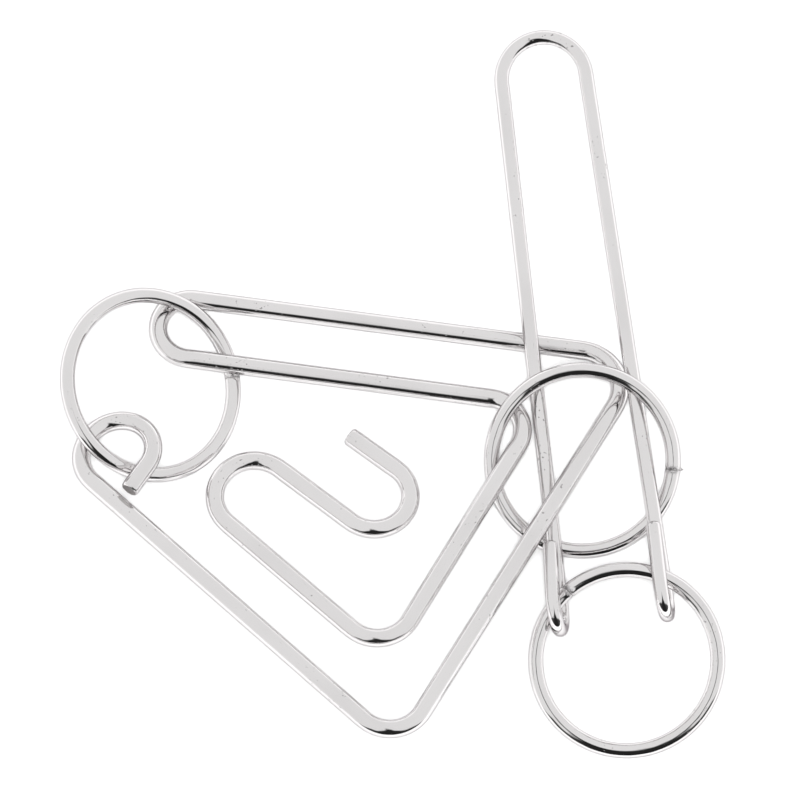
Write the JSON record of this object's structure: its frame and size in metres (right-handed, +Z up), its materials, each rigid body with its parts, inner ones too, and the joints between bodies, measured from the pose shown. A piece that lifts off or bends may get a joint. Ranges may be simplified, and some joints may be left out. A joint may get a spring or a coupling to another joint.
{
  "type": "wire disentanglement puzzle",
  "caption": "Pocket disentanglement puzzle: a flat spiral wire and a long eyed hairpin, linked by loose closed rings, all in bright plated round wire.",
  "frame": {"origin": "on the table, under the middle of the puzzle's bounding box", "axes": "+Z up from the table, +Y toward the hairpin's closed end, +X toward the hairpin's side of the puzzle"},
  "size_m": [0.0884, 0.0978, 0.0171],
  "materials": {
    "nickel_plated_wire": "bright nickel plating on drawn steel wire, faint draw lines and small pits"
  },
  "bodies": {
    "spiral_wire": {"spiral_wire": "nickel_plated_wire"},
    "left_ring": {"left_ring": "nickel_plated_wire"},
    "middle_ring": {"middle_ring": "nickel_plated_wire"},
    "hairpin": {"hairpin": "nickel_plated_wire"},
    "lower_ring": {"lower_ring": "nickel_plated_wire"}
  },
  "joints": [
    {"name": "left_ring_turn", "type": "hinge", "parent": "spiral_wire", "child": "left_ring", "pos_m": [-0.03223, 0.00051, 0.00611], "axis": [0.4226, 0, 0.9063], "continuous": true},
    {"name": "middle_ring_turn", "type": "hinge", "parent": "spiral_wire", "child": "middle_ring", "pos_m": [0.02523, -0.00937, 0.00421], "axis": [0.0199, -0.2648, 0.9641], "continuous": true},
    {"name": "hairpin_slide", "type": "slide", "parent": "spiral_wire", "child": "hairpin", "axis": [0.1478, -0.989, -0.006], "range_m": [0, 0.038]},
    {"name": "lower_ring_swing", "type": "hinge", "parent": "hairpin", "child": "lower_ring", "pos_m": [0.02153, -0.02881, 0.00623], "axis": [0.9748, 0.2191, 0.0411], "range_deg": [-85, 0]}
  ]
}
